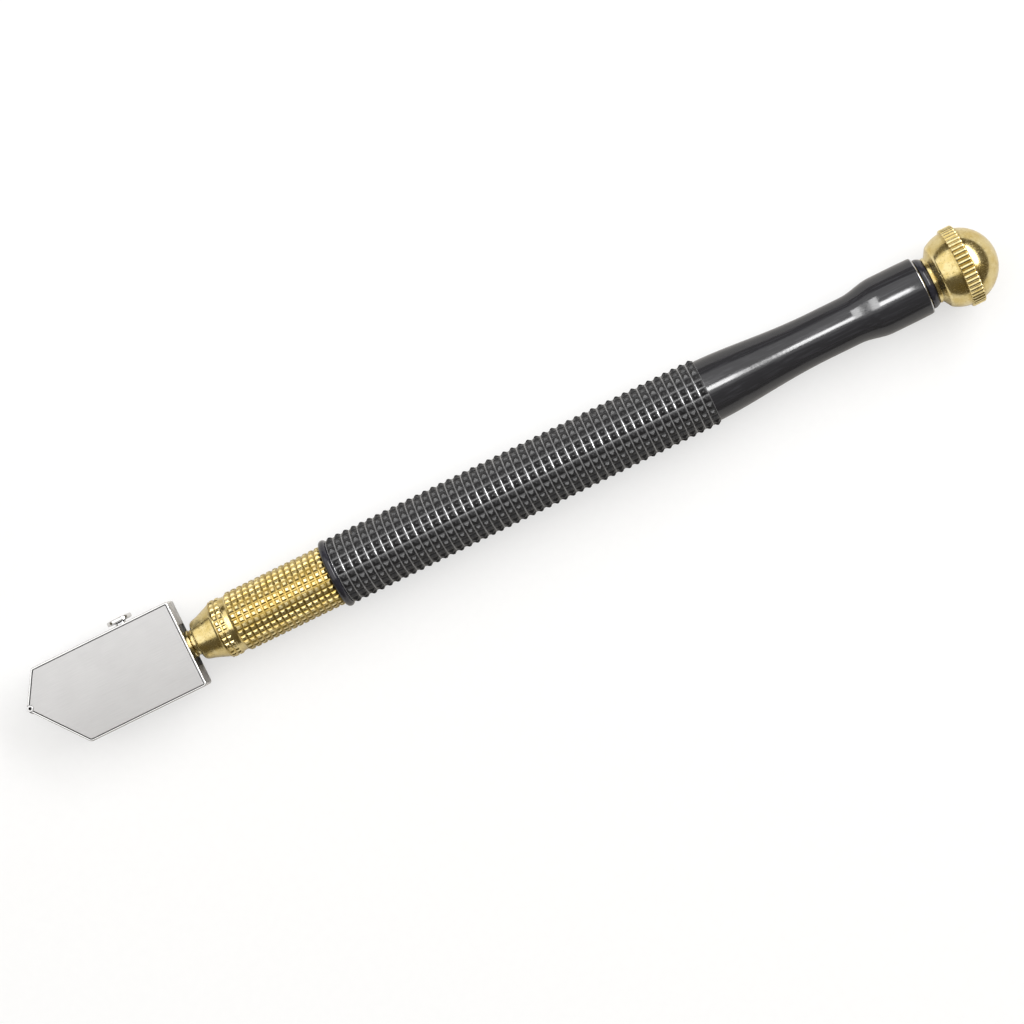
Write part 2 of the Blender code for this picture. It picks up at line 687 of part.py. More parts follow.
def main():
    clear_scene()
    chrome = material("chrome", (0.78, 0.79, 0.80), 0.12, 1.0)
    satin = material("satin_steel", (0.66, 0.66, 0.67), 0.35, 1.0)
    steel = material("steel", (0.70, 0.70, 0.70), 0.2, 1.0)
    carbide = material("carbide", (0.35, 0.35, 0.37), 0.3, 1.0)
    brass = material("brass", (0.80, 0.63, 0.28), 0.18, 1.0)
    black = material("gloss_black", (0.02, 0.02, 0.022), 0.22, 0.0)
    rubber = material("black_rubber", (0.025, 0.025, 0.03), 0.4, 0.0)
    cotton = material("cotton", (0.85, 0.82, 0.74), 0.9, 0.0)

    # The handle stays still; each other empty stands on the axis of its own joint
    handle = empty("handle_axis", (TIP_AT_X, AXIS_AT_Y, 0))
    stem = empty("stem_axis", (0, 0, 0), handle)
    head = empty("head_axis", (0, 0, 0), stem)
    wheel = empty("wheel_axis", (AXLE_X, TIP_Y, 0), head)
    screw = empty("screw_axis", (SCREW_X, 0, 0), head)
    cap_lift = empty("cap_lift_axis", (0, 0, 0), handle)
    cap = empty("cap_axis", (0, 0, 0), cap_lift)

    make_head_frame(head, chrome)
    make_face_plate("front_face_plate", 1, head, satin)
    make_face_plate("back_face_plate", -1, head, satin)
    make_wheel_axle(head, steel)
    make_cutting_wheel(wheel, carbide)
    make_lock_screw(screw, steel)
    make_swivel_washer(head, brass)
    make_stem(stem, brass)
    make_wicks(head, stem, cotton)
    make_stem_o_ring(stem, rubber)
    make_ferrule(handle, brass)
    make_valve_seal(handle, rubber)
    make_stem_spring(handle, steel)
    make_valve_plug(handle, brass)
    make_front_ring(handle, rubber)
    make_barrel(handle, black)
    make_end_bush(handle, black)
    make_ball_cap(cap, brass)
    make_cap_o_ring(cap_lift, rubber)


main()
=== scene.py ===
"""The finish of an oil-fed pencil glass cutter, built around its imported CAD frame.

Metres, +Z up. The tool lies along X, with its wheel at -X and its ball cap at +X. The
head's flat faces look up and down, and its lock screw is on the +Y side. Stations along
the tool are measured from the head's tip, radii from the tool's axis.
"""

from math import atan2, cos, pi, radians, sin, sqrt, tan

import bpy
import numpy as np
from mathutils import Matrix, Vector


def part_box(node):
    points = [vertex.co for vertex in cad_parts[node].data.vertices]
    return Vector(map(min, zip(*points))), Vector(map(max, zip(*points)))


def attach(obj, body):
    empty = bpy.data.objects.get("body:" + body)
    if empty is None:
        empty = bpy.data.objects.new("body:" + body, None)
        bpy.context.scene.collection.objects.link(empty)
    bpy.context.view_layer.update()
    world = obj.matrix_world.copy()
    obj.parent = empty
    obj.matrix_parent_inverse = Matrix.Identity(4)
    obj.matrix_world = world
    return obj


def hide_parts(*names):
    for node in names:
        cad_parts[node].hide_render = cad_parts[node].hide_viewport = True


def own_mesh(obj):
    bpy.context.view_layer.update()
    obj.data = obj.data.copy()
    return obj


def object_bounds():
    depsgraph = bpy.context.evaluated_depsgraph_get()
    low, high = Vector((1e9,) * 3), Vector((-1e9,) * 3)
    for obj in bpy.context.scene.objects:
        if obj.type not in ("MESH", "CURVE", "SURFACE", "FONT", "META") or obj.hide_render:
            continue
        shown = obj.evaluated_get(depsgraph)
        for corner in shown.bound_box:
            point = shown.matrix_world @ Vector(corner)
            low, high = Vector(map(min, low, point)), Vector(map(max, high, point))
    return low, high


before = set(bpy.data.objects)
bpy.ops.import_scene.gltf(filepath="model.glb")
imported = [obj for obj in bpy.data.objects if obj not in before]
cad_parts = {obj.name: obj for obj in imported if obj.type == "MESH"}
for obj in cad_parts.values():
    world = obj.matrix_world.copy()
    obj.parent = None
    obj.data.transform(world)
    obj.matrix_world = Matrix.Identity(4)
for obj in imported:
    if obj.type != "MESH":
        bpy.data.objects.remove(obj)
CAD_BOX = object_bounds()

MM = 0.001
TIP_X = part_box("head_frame")[0].x
AXIS_Y = (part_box("barrel")[0].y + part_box("barrel")[1].y) / 2
FIT = 0.05 * MM  # between pieces that rest on or slide in each other


def span(node):
    """The stations where a node starts and ends."""
    low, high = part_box(node)
    return low.x - TIP_X, high.x - TIP_X


def width(node):
    """The radius of a turned node, from its box."""
    low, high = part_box(node)
    return (high.z - low.z) / 2


# Where turned pieces stand. They are made along X: IN_LINE lays that on the tool's axis,
# upright turns it to Z at a node's middle, and sideways turns it to Y at some x.
IN_LINE = Matrix.Translation((TIP_X, AXIS_Y, 0))


def middle_x(node):
    low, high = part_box(node)
    return (low.x + high.x) / 2


def upright(node):
    low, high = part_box(node)
    turn = Matrix.Rotation(-pi / 2, 4, "Y")
    return Matrix.Translation((middle_x(node), (low.y + high.y) / 2, 0)) @ turn


def sideways(x):
    return Matrix.Translation((x, AXIS_Y, 0)) @ Matrix.Rotation(pi / 2, 4, "Z")


# ---------------------------------------------------------------- shapes


def arc(centre_x, centre_r, radius, start, end, count):
    """Points on a circle from the start angle to the end angle in degrees, 0 along +X."""
    angles = np.radians(np.linspace(start, end, count + 1))
    return [(centre_x + radius * cos(a), centre_r + radius * sin(a)) for a in angles]


def eased(start_x, start_r, end_x, end_r, count, lead=1.0):
    """Points after the start on a smooth S-shaped run between two radii.

    A lead below one brings the change nearer to the start.
    """
    run = []
    for n in range(1, count + 1):
        share = n / count
        rise = (1 - cos(pi * share**lead)) / 2
        run.append((start_x + (end_x - start_x) * share, start_r + (end_r - start_r) * rise))
    return run


def stations(start, end, count):
    """Evenly spaced stations, both ends included."""
    return [start + (end - start) * n / count for n in range(count + 1)]


def soften(outline, radius, least_turn=12):
    """Rounds the corners that turn by enough degrees, so that every edge catches the light.

    A corner takes up less than half of each side. Ends on the axis stay where they are.
    """
    most = 0.45
    points = [Vector(p) for p in outline]
    ring = outline[0][1] > 0 or outline[-1][1] > 0
    smooth = []
    for n, point in enumerate(points):
        if not ring and n in (0, len(points) - 1):
            smooth.append(tuple(point))
            continue
        before = points[n - 1] - point
        after = points[(n + 1) % len(points)] - point
        shortest = min(before.length, after.length)
        if shortest < 1e-9 or pi - before.angle(after) < radians(least_turn):
            smooth.append(tuple(point))
            continue
        start = point + before.normalized() * min(radius, before.length * most)
        end = point + after.normalized() * min(radius, after.length * most)
        for t in (0, 0.25, 0.5, 0.75, 1):
            smooth.append(tuple(start * (1 - t) ** 2 + point * 2 * t * (1 - t) + end * t**2))
    return smooth


SHARP_ANGLE = 38  # edges that turn by more degrees than this stay crisp


def to_object(name, points, faces, sharp_angle=SHARP_ANGLE):
    """A mesh object in the scene, smooth except at its sharp edges."""
    mesh = bpy.data.meshes.new(name)
    mesh.from_pydata(points, [], faces)
    mesh.validate()
    mesh.shade_smooth()
    mesh.set_sharp_from_angle(angle=radians(sharp_angle))
    made = bpy.data.objects.new(name, mesh)
    bpy.context.scene.collection.objects.link(made)
    return made


def turned(name, outline, columns, relief=None, place=IN_LINE, sharp_angle=SHARP_ANGLE):
    """A lathe-turned solid from (station, radius) points that run towards +X on the outside.

    An outline that starts and ends on the axis is closed there; any other is a ring. The
    relief is the depth cut into the surface, from stations, radii and angles. Its squares
    are split along the diagonal that stands higher, which keeps its ridges and tips whole.
    """
    ring = outline[0][1] > 0 or outline[-1][1] > 0
    rows = outline if ring else outline[1:-1]
    x, r = (np.array(values)[:, None] for values in zip(*rows))
    phi = np.arange(columns)[None, :] * 2 * pi / columns
    r = r - relief(x, r, phi) if relief else r + 0 * phi
    local = np.stack([x + 0 * phi, r * np.cos(phi), r * np.sin(phi)], -1).reshape(-1, 3)
    points = [tuple(p) for p in local]
    faces = []
    count = len(rows)
    for i in range(count if ring else count - 1):
        a, b = i * columns, (i + 1) % count * columns
        for j in range(columns):
            k = (j + 1) % columns
            quad = (a + j, a + k, b + k, b + j)
            if relief and r[i, j] + r[(i + 1) % count, k] > r[i, k] + r[(i + 1) % count, j]:
                faces += [(quad[0], quad[1], quad[2]), (quad[0], quad[2], quad[3])]
            elif relief:
                faces += [(quad[1], quad[2], quad[3]), (quad[1], quad[3], quad[0])]
            else:
                faces.append(quad)
    if not ring:
        first, last = len(points), len(points) + 1
        points += [(outline[0][0], 0, 0), (outline[-1][0], 0, 0)]
        end = (count - 1) * columns
        for j in range(columns):
            k = (j + 1) % columns
            faces.append((first, k, j))
            faces.append((last, end + j, end + k))
    made = to_object(name, points, faces, sharp_angle)
    made.data.transform(place)
    return made


def loft(name, layers):
    """A closed solid through equal outlines, the first and last of them filled."""
    count = len(layers[0])
    points = [tuple(p) for layer in layers for p in layer]
    faces = [tuple(reversed(range(count))), tuple(range(len(points) - count, len(points)))]
    for n in range(len(layers) - 1):
        a, b = n * count, (n + 1) * count
        for j in range(count):
            k = (j + 1) % count
            faces.append((a + j, a + k, b + k, b + j))
    return to_object(name, points, faces)


def cut(target, *cutters, finish=None):
    """Cuts the cutters out of the target, gives the cuts a finish, and removes the cutters."""
    for cutter in cutters:
        modifier = target.modifiers.new("cut", "BOOLEAN")
        modifier.operation = "DIFFERENCE"
        modifier.solver = "EXACT"
        modifier.object = cutter
        if finish:
            cutter.data.materials.append(finish)
            modifier.material_mode = "TRANSFER"
    bpy.context.view_layer.update()
    evaluated = target.evaluated_get(bpy.context.evaluated_depsgraph_get())
    result = bpy.data.meshes.new_from_object(evaluated)
    target.modifiers.clear()
    target.data = result
    result.shade_smooth()
    result.set_sharp_from_angle(angle=radians(SHARP_ANGLE))
    for cutter in cutters:
        bpy.data.objects.remove(cutter)
    return target


def refinish(piece, finish, where):
    """Gives another finish to the faces that the test picks."""
    piece.data.materials.append(finish)
    for face in piece.data.polygons:
        if where(face):
            face.material_index = len(piece.data.materials) - 1


def block(name, low, high):
    """A square-edged cutter between two corners."""
    (x0, y0, z0), (x1, y1, z1) = low, high
    base = [(x0, y0), (x1, y0), (x1, y1), (x0, y1)]
    return loft(name, [[(x, y, z) for x, y in base] for z in (z0, z1)])


def cylinder(name, start, end, radius, place=IN_LINE, columns=64):
    """A cylinder between two stations, for cutting holes."""
    outline = [(start, 0), (start, radius), (end, radius), (end, 0)]
    return turned(name, outline, columns, place=place)


KNURL_SAMPLES = 8  # facets across one pyramid of a knurl
KNURL_STEP = 1 / KNURL_SAMPLES


def knurl(start, end, rows, around, depth, tip, floor=0.0, bow=1.0):
    """The relief of a rolled lattice of four-sided pyramids.

    The tip and the floor are the shares of a pyramid's half width that are flat at its top
    and in its grooves. A bow above one hollows its sides, for wide grooves and sharper tips.
    """

    def relief(x, r, phi):
        across = np.abs((x - start) / (end - start) * rows % 1 - 0.5) * 2
        along = np.abs((phi * around / (2 * pi) + KNURL_STEP / 2) % 1 - 0.5) * 2
        height = (1 - floor - np.maximum(across, along)) / (1 - floor - tip)
        inside = (x > start) & (x < end)
        return np.where(inside, depth * (1 - np.clip(height, 0, 1) ** bow), 0)

    return relief


def knurl_stations(start, end, rows):
    """The stations that bound a knurl's facets, clear of its ends."""
    half = (end - start) / rows * KNURL_STEP / 2
    return stations(start + half, end - half, rows * KNURL_SAMPLES - 1)


# ---------------------------------------------------------------- materials

BRASS = (0.92, 0.79, 0.43)
BRASS_STAIN = (0.78, 0.61, 0.24)
BRASS_SPECK = (0.48, 0.33, 0.09)
# grime and painted shade, mixed into the brass in its hollows and knurl grooves
BRASS_GRIME_AND_SHADE = (0.38, 0.26, 0.055)
ENAMEL = (0.014, 0.014, 0.016)
ENAMEL_BLUE = (0.02, 0.02, 0.028)
GRIP_ENAMEL = (0.006, 0.006, 0.007)
GRIP_DUST = (0.015, 0.015, 0.016)
BARE_GROOVE = (0.46, 0.46, 0.47)
CHROME = (0.88, 0.885, 0.89)
CHROME_HAZE = (0.80, 0.805, 0.82)
NICKEL = (0.68, 0.68, 0.69)
NICKEL_CLOUD = (0.65, 0.65, 0.66)
NICKEL_GRAIN = (0.56, 0.56, 0.57)
STEEL = (0.72, 0.72, 0.73)
ALUMINIUM = (0.62, 0.63, 0.66)
CARBIDE = (0.26, 0.26, 0.28)
CARBIDE_GRIND = (0.18, 0.18, 0.20)
RUBBER = (0.022, 0.022, 0.024)
RUBBER_BLOOM = (0.05, 0.05, 0.052)
COTTON_SHADE = (0.62, 0.58, 0.48)
COTTON = (0.84, 0.81, 0.72)

# The sockets of a Mix node that mixes colours, whose names aren't unique
MIX_SHARE, MIX_FIRST, MIX_SECOND = 0, 6, 7
MIX_RESULT = 2


def scaled(colour, factor):
    return tuple(c * factor for c in colour)


class Finish:
    """A procedural material on one Principled shader, with short helpers for its nodes."""

    def __init__(self, name):
        self.material = bpy.data.materials.new(name)
        self.material.use_nodes = True
        self.tree = self.material.node_tree
        self.shader = self.tree.nodes["Principled BSDF"]

    def node(self, kind, inputs, output=0, **settings):
        """Adds a shader node with its inputs and settings, and gives one of its outputs."""
        made = self.tree.nodes.new("ShaderNode" + kind)
        for key, value in settings.items():
            setattr(made, key, value)
        for key, value in inputs.items():
            self.feed(made.inputs[key], value)
        return made.outputs[output]

    def feed(self, socket, value):
        """Links another node's output to the socket, or sets its value."""
        if isinstance(value, bpy.types.NodeSocket):
            self.tree.links.new(value, socket)
        elif hasattr(value, "__len__") and len(value) == 3 and socket.type == "RGBA":
            socket.default_value = (*value, 1.0)
        else:
            socket.default_value = value

    def place(self, stretch=(1, 1, 1), shift=(0, 0, 0)):
        """The object's own coordinates, stretched and then shifted."""
        coordinates = self.node("TexCoord", {}, "Object")
        return self.node("Mapping", {
            "Vector": coordinates, "Scale": stretch, "Location": shift,
        })

    def noise(self, size, stretch=(1, 1, 1), detail=4):
        """Noise whose features are about this size, from 0 to 1."""
        vector = self.place(stretch)
        return self.node("TexNoise", {"Vector": vector, "Scale": 1 / size, "Detail": detail}, "Fac")

    def spread(self, value, low, high, start=0.3, end=0.7):
        """Takes a value between start and end to one between low and high, and no further."""
        return self.node("MapRange", {
            "Value": value, "From Min": start, "From Max": end, "To Min": low, "To Max": high,
        })

    def mix(self, share, first, second):
        """The first colour where the share is 0, the second where it is 1."""
        inputs = {MIX_SHARE: share, MIX_FIRST: first, MIX_SECOND: second}
        return self.node("Mix", inputs, MIX_RESULT, data_type="RGBA")

    def math(self, operation, first, second):
        return self.node("Math", {0: first, 1: second}, operation=operation)

    def add(self, first, second):
        return self.math("ADD", first, second)

    def times(self, first, second):
        return self.math("MULTIPLY", first, second)

    def pointiness(self, low, high, start, end):
        """Low in hollows and high on peaks."""
        return self.spread(self.node("NewGeometry", {}, "Pointiness"), low, high, start, end)

    def rings(self, start, pitch, half_width):
        """One on circles around the X axis at every pitch, fading to zero within the width."""
        x = self.node("SeparateXYZ", {"Vector": self.node("TexCoord", {}, "Object")}, "X")
        row = self.math("DIVIDE", self.math("SUBTRACT", x, start), pitch)
        return self.spread(self.math("PINGPONG", row, 0.5), 1, 0, 0, half_width / pitch)

    def sunk(self, radius, depth):
        """Zero at the radius from the tool's axis and one where the surface is deeper by depth."""
        spoke = self.place((0, 1, 1), (0, -AXIS_Y, 0))
        distance = self.node("VectorMath", {0: spoke}, "Value", operation="LENGTH")
        return self.spread(distance, 1, 0, radius - depth, radius)

    def bump(self, height, depth):
        return self.node("Bump", {"Height": height, "Distance": depth, "Strength": 1.0})

    def set(self, **inputs):
        """Feeds the shader's inputs by name, and gives the finished material."""
        sockets = {s.name.lower().replace(" ", "_"): s for s in self.shader.inputs}
        for key, value in inputs.items():
            self.feed(sockets[key], value)
        return self.material


def turned_brass(name, dull=0.0, hollows=None):
    """Bright brass with faint lathe rings, tarnish stains and specks, and grime with painted shade
    in the hollows.
    """
    f = Finish(name)
    stains = f.spread(f.noise(1.9 * MM, detail=6), 0, 1, 0.42, 0.66)
    specks = f.spread(f.noise(0.34 * MM, detail=3), 0, 1, 0.54, 0.70)
    colour = f.mix(stains, BRASS, BRASS_STAIN)
    colour = f.mix(f.times(specks, 0.5), colour, BRASS_SPECK)
    # the hollows get a dark colour that is partly grime and partly painted shade
    if hollows:
        colour = f.mix(hollows(f), colour, BRASS_GRIME_AND_SHADE)
    rings = f.noise(0.09 * MM, (1, 0.012, 0.012), 3)
    wear = f.noise(0.35 * MM, detail=3)
    rough = f.add(f.spread(stains, 0.0, 0.06, 0, 1), f.spread(wear, 0.13 + dull, 0.22 + dull))
    rough = f.add(rough, f.times(specks, 0.12))
    normal = f.bump(f.add(rings, f.times(wear, 0.6)), 0.0015 * MM)
    return f.set(base_color=colour, metallic=1.0, roughness=rough, normal=normal)


def gloss_black(name, colour=ENAMEL):
    """Glossy black enamel with slight chatter, dust and fine handling marks."""
    f = Finish(name)
    chatter = f.noise(0.42 * MM, (1, 0.3, 0.3), 3)
    marks = f.noise(0.3 * MM, (0.05, 1, 1), 5)
    tone = f.mix(f.spread(marks, 0, 1, 0.5, 0.75), colour, scaled(colour, 1.7))
    rough = f.spread(marks, 0.10, 0.2)
    normal = f.bump(f.add(chatter, f.times(marks, 0.15)), 0.006 * MM)
    return f.set(base_color=tone, metallic=0.0, roughness=rough, ior=1.5, normal=normal)


def knurled_black(name, start, pitch, radius, depth):
    """Matt black over a knurl, worn to the metal in patches in its grooves.

    More metal shows in the grooves that run around the tool than in those along it.
    """
    f = Finish(name)
    patchy = f.spread(f.noise(0.9 * MM, detail=3), 0.3, 0.8)
    floors = f.times(f.sunk(radius - 0.97 * depth, 0.03 * depth), 0.1)
    grooves = f.math("MAXIMUM", f.rings(start, pitch, 0.13 * MM), floors)
    bare = f.times(grooves, patchy)
    dust = f.spread(f.noise(0.3 * MM, detail=5), 0, 1, 0.5, 0.75)
    tone = f.mix(bare, f.mix(dust, GRIP_ENAMEL, GRIP_DUST), BARE_GROOVE)
    normal = f.bump(dust, 0.004 * MM)
    rough = f.spread(bare, 0.42, 0.14, 0, 0.25)
    return f.set(base_color=tone, metallic=bare, roughness=rough, ior=1.42, normal=normal)


def bright_chrome(name):
    """Polished chrome plate with a light haze and hair-fine scratches."""
    f = Finish(name)
    haze = f.noise(3 * MM, detail=4)
    scratches = f.noise(0.12 * MM, (0.04, 1, 1), 4)
    rough = f.add(f.spread(haze, 0.06, 0.14), f.spread(scratches, 0, 0.05, 0.5, 0.8))
    colour = f.mix(f.spread(haze, 0, 1), CHROME, CHROME_HAZE)
    normal = f.bump(f.add(scratches, f.times(haze, 0.5)), 0.001 * MM)
    return f.set(base_color=colour, metallic=1.0, roughness=rough, normal=normal)


def dull_zinc(name, shade, rough=0.4):
    """Zinc left as cast: dull, clouded and slightly pitted, in a grey of this shade."""
    f = Finish(name)
    pits = f.noise(0.25 * MM, detail=5)
    cloud = f.spread(f.noise(1.6 * MM, detail=4), 0, 1, 0.38, 0.62)
    grey = (shade,) * 3
    tone = f.mix(f.add(f.spread(pits, 0, 0.5), cloud), grey, scaled(grey, 0.6))
    return f.set(
        base_color=tone, metallic=1.0, roughness=f.spread(pits, rough, rough + 0.15),
        normal=f.bump(pits, 0.012 * MM),
    )


def satin_plate(name):
    """Satin nickel with a fine straight grain along the tool."""
    f = Finish(name)
    grain = f.noise(0.07 * MM, (0.02, 1, 1), 5)
    cloud = f.noise(4 * MM, detail=4)
    colour = f.mix(f.spread(cloud, 0, 1), NICKEL, NICKEL_CLOUD)
    colour = f.mix(f.spread(grain, 0, 0.25, 0.35, 0.65), colour, NICKEL_GRAIN)
    rough = f.spread(grain, 0.46, 0.58)
    normal = f.bump(grain, 0.0016 * MM)
    return f.set(base_color=colour, metallic=0.75, roughness=rough, normal=normal)


def machined_metal(name, colour):
    """A plain bright metal with fine turning marks."""
    f = Finish(name)
    rings = f.noise(0.06 * MM, (1, 0.05, 1), 3)
    marks = f.noise(0.5 * MM, detail=4)
    tone = f.mix(f.spread(marks, 0, 0.3), colour, scaled(colour, 0.7))
    rough = f.spread(marks, 0.16, 0.28)
    normal = f.bump(rings, 0.0015 * MM)
    return f.set(base_color=tone, metallic=1.0, roughness=rough, normal=normal)


def ground_carbide(name):
    """Dark ground carbide with a fine circular grind."""
    f = Finish(name)
    grind = f.noise(0.03 * MM, (1, 1, 12), 3)
    tone = f.mix(f.spread(grind, 0, 1), CARBIDE, CARBIDE_GRIND)
    return f.set(
        base_color=tone, metallic=1.0, roughness=f.spread(grind, 0.25, 0.4),
        normal=f.bump(grind, 0.001 * MM),
    )


def soft_rubber(name):
    """Matt black rubber with a dry bloom."""
    f = Finish(name)
    bloom = f.noise(0.4 * MM, detail=5)
    tone = f.mix(f.spread(bloom, 0, 1), RUBBER, RUBBER_BLOOM)
    return f.set(
        base_color=tone, roughness=f.spread(bloom, 0.45, 0.65), normal=f.bump(bloom, 0.01 * MM)
    )


def twisted_cotton(name):
    """Off-white cotton cord with twisted strands."""
    f = Finish(name)
    strands = f.node("TexWave", {
        "Vector": f.place(), "Scale": 1 / (4 * MM), "Distortion": 3.0, "Detail": 3.0,
    }, "Fac", bands_direction="DIAGONAL")
    tone = f.mix(strands, COTTON_SHADE, COTTON)
    return f.set(
        base_color=tone, roughness=0.92, sheen_weight=0.4, normal=f.bump(strands, 0.05 * MM)
    )


# ---------------------------------------------------------------- head

HEAD_LOW, HEAD_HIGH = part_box("head_frame")
HEAD_LENGTH = HEAD_HIGH.x - HEAD_LOW.x
HEAD_HALF = HEAD_HIGH.z  # half its thickness
SCREW_EDGE = HEAD_HIGH.y - AXIS_Y  # from the tool's axis to the long edge with the lock screw
FREE_EDGE = AXIS_Y - HEAD_LOW.y  # and to the other long edge
SCREW_SHOULDER_X = 3.7 * MM  # where the slanted tip meets each long edge
FREE_SHOULDER_X = 7.5 * MM
CORNER_RADII = [0.25 * MM, 0.9 * MM, 0.5 * MM, 0.5 * MM, 0.5 * MM]  # from the tip round
LEAST_CORNER_R = 0.12 * MM
EDGE = 0.16 * MM  # rounding of the head's long edges
CLEAR = 5 * MM  # how far an open-ended cutter reaches past the piece

# Face plates, let into the head
RIM = 0.32 * MM
PLATE_GAP = 0.13 * MM
PLATE_THICK = 0.45 * MM
PLATE_EDGE = 0.04 * MM

# Wheel and the riveted axle at the tip
AXLE_LOW, AXLE_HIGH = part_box("wheel_axle")
TIP_Y = (AXLE_LOW.y + AXLE_HIGH.y) / 2 - AXIS_Y
AXLE_HEAD_R = (AXLE_HIGH.x - AXLE_LOW.x) / 2
AXLE_HEAD_DEEP = 0.35 * MM
AXLE_R = 0.4 * MM
AXLE_BORE_R = 0.27 * MM
AXLE_BORE_DEEP = 0.8 * MM
WHEEL_BEVEL = radians(35)
WHEEL_BLUNT = 0.09 * MM  # taken off the bevel's width, which blunts the V a little
WHEEL_SLOT_HALF = 0.425 * MM
WHEEL_SLOT_FLOOR_X = 2.2 * MM

# Seat for the swivel washer and the stem, at the head's end
WASHER_SEAT_DEEP = 0.3 * MM
WASHER_SEAT_HALF = 3.85 * MM
WASHER_SEAT_WALL = 0.22 * MM
STEM_SHANK_R = 1.6 * MM

# Lock screw in the long edge
THREAD_FIT = 0.1 * MM
SCREW_X = middle_x("lock_screw")
SCREW_R = 0.95 * MM
SCREW_NOSE_R = 0.6 * MM
SCREW_NOSE_LONG = 0.55 * MM
SCREW_TAPER = 0.2 * MM
SCREW_HEAD_THICK = 0.78 * MM
SCREW_DRIVE_HALF = 0.275 * MM
SCREW_DRIVE_DEEP = 0.4 * MM
SCREW_DRIVE_REACH = 0.62  # the share of the head's radius that the slot takes up


def head_corners(inset):
    """The head's five corners, with every side moved inwards by the inset."""
    corners = [
        Vector((0, TIP_Y)),
        Vector((FREE_SHOULDER_X, -FREE_EDGE)),
        Vector((HEAD_LENGTH, -FREE_EDGE)),
        Vector((HEAD_LENGTH, SCREW_EDGE)),
        Vector((SCREW_SHOULDER_X, SCREW_EDGE)),
    ]
    moved = []
    for before, corner, after in zip(corners[-1:] + corners, corners, corners[1:] + corners):
        into = (corner - before).normalized()
        out = (after - corner).normalized()
        inwards = (out - into).normalized()
        moved.append(corner + inwards * inset / cos(into.angle(out) / 2))
    return moved


def head_outline(inset, height):
    """The head's outline moved inwards, at a height, with rounded corners."""
    corners = head_corners(inset)
    steps = 8
    outline = []
    for n, (corner, radius) in enumerate(zip(corners, CORNER_RADII)):
        radius = max(radius - inset, LEAST_CORNER_R)
        into = (corner - corners[n - 1]).normalized()
        out = (corners[(n + 1) % len(corners)] - corner).normalized()
        turn = into.angle(out)
        centre = corner + (out - into).normalized() * radius / cos(turn / 2)
        start = corner - into * radius * tan(turn / 2) - centre
        for step in range(steps + 1):
            x, y = centre + Matrix.Rotation(turn * step / steps, 2) @ start
            outline.append((TIP_X + x, AXIS_Y + y, height))
    return outline


def slab(name, inset, low, high, edge_low, edge_high):
    """The head's outline as a solid slab; a positive edge rounds it, a negative one flares it."""
    steps = 4
    layers = []
    for level, edge, sign in ((low, edge_low, 1), (high, edge_high, -1)):
        turns = [0] if not edge else [n / steps for n in range(steps + 1)]
        rounded = []
        for turn in turns:
            drawn_in = edge * (1 - sin(turn * pi / 2)) if edge > 0 else edge * (1 - turn)
            height = level + sign * abs(edge) * ((1 - cos(turn * pi / 2)) if edge > 0 else turn)
            rounded.append(head_outline(inset + drawn_in, height))
        layers += rounded if sign > 0 else rounded[::-1]
    return loft(name, layers)


def make_head_frame(plated, dull, cast):
    """The head's block: plated outside, dull on its end, as cast in its pockets and bores, whose
    darker grey is painted shade.
    """
    piece = slab("head_shell", 0, -HEAD_HALF, HEAD_HALF, EDGE, EDGE)
    piece.data.materials.append(plated)
    floor = HEAD_HALF - PLATE_THICK - FIT
    lip = 0.3 * EDGE
    front = slab("front_pocket", RIM, floor, HEAD_HALF + lip, 0, -2 * lip)
    back = slab("back_pocket", RIM, -HEAD_HALF - lip, -floor, -2 * lip, 0)
    end_x = HEAD_HIGH.x
    slot = block(
        "wheel_slot", (TIP_X - CLEAR, HEAD_LOW.y - CLEAR, -WHEEL_SLOT_HALF),
        (TIP_X + WHEEL_SLOT_FLOOR_X, HEAD_HIGH.y + CLEAR, WHEEL_SLOT_HALF),
    )
    seat_half = HEAD_HALF - WASHER_SEAT_WALL
    seat = block(
        "washer_seat", (end_x - WASHER_SEAT_DEEP, AXIS_Y - WASHER_SEAT_HALF, -seat_half),
        (end_x + CLEAR, AXIS_Y + WASHER_SEAT_HALF, seat_half),
    )
    stem_start = span("stem")[0] - FIT
    socket = cylinder("stem_socket", stem_start, HEAD_LENGTH + CLEAR, STEM_SHANK_R + THREAD_FIT)
    screw_hole = cylinder("screw_hole", 0, 2 * SCREW_EDGE, SCREW_R + THREAD_FIT, sideways(SCREW_X))
    # the cut faces get the darker zinc grey, painted shade in the pockets, slot and bores
    cut(piece, front, back, finish=cast)
    cut(piece, slot, axle_hole(), seat, socket, screw_hole, finish=cast)
    refinish(piece, dull, lambda face: face.normal.x > 0.9 and face.center.x > end_x - FIT)
    return piece


def axle_hole():
    """The cutter for the rivet's hole, wider where the rivet's heads sit."""
    end = 2 * HEAD_HALF
    neck = HEAD_HALF - AXLE_HEAD_DEEP - FIT
    outline = [
        (-end, 0), (-end, AXLE_HEAD_R + FIT), (-neck, AXLE_HEAD_R + FIT), (-neck, AXLE_R + FIT),
        (neck, AXLE_R + FIT), (neck, AXLE_HEAD_R + FIT), (end, AXLE_HEAD_R + FIT), (end, 0),
    ]
    return turned("axle_hole", outline, 48, place=upright("wheel_axle"))


def make_face_plate(name, side):
    """A panel on the front (side 1) or the back (side -1), notched around the rivet."""
    outer = side * HEAD_HALF
    inner = side * (HEAD_HALF - PLATE_THICK)
    edges = (0, PLATE_EDGE) if side > 0 else (PLATE_EDGE, 0)
    piece = slab(name, RIM + PLATE_GAP, min(outer, inner), max(outer, inner), *edges)
    end = 2 * HEAD_HALF
    return cut(piece, cylinder("notch", -end, end, AXLE_HEAD_R + FIT, upright("wheel_axle")))


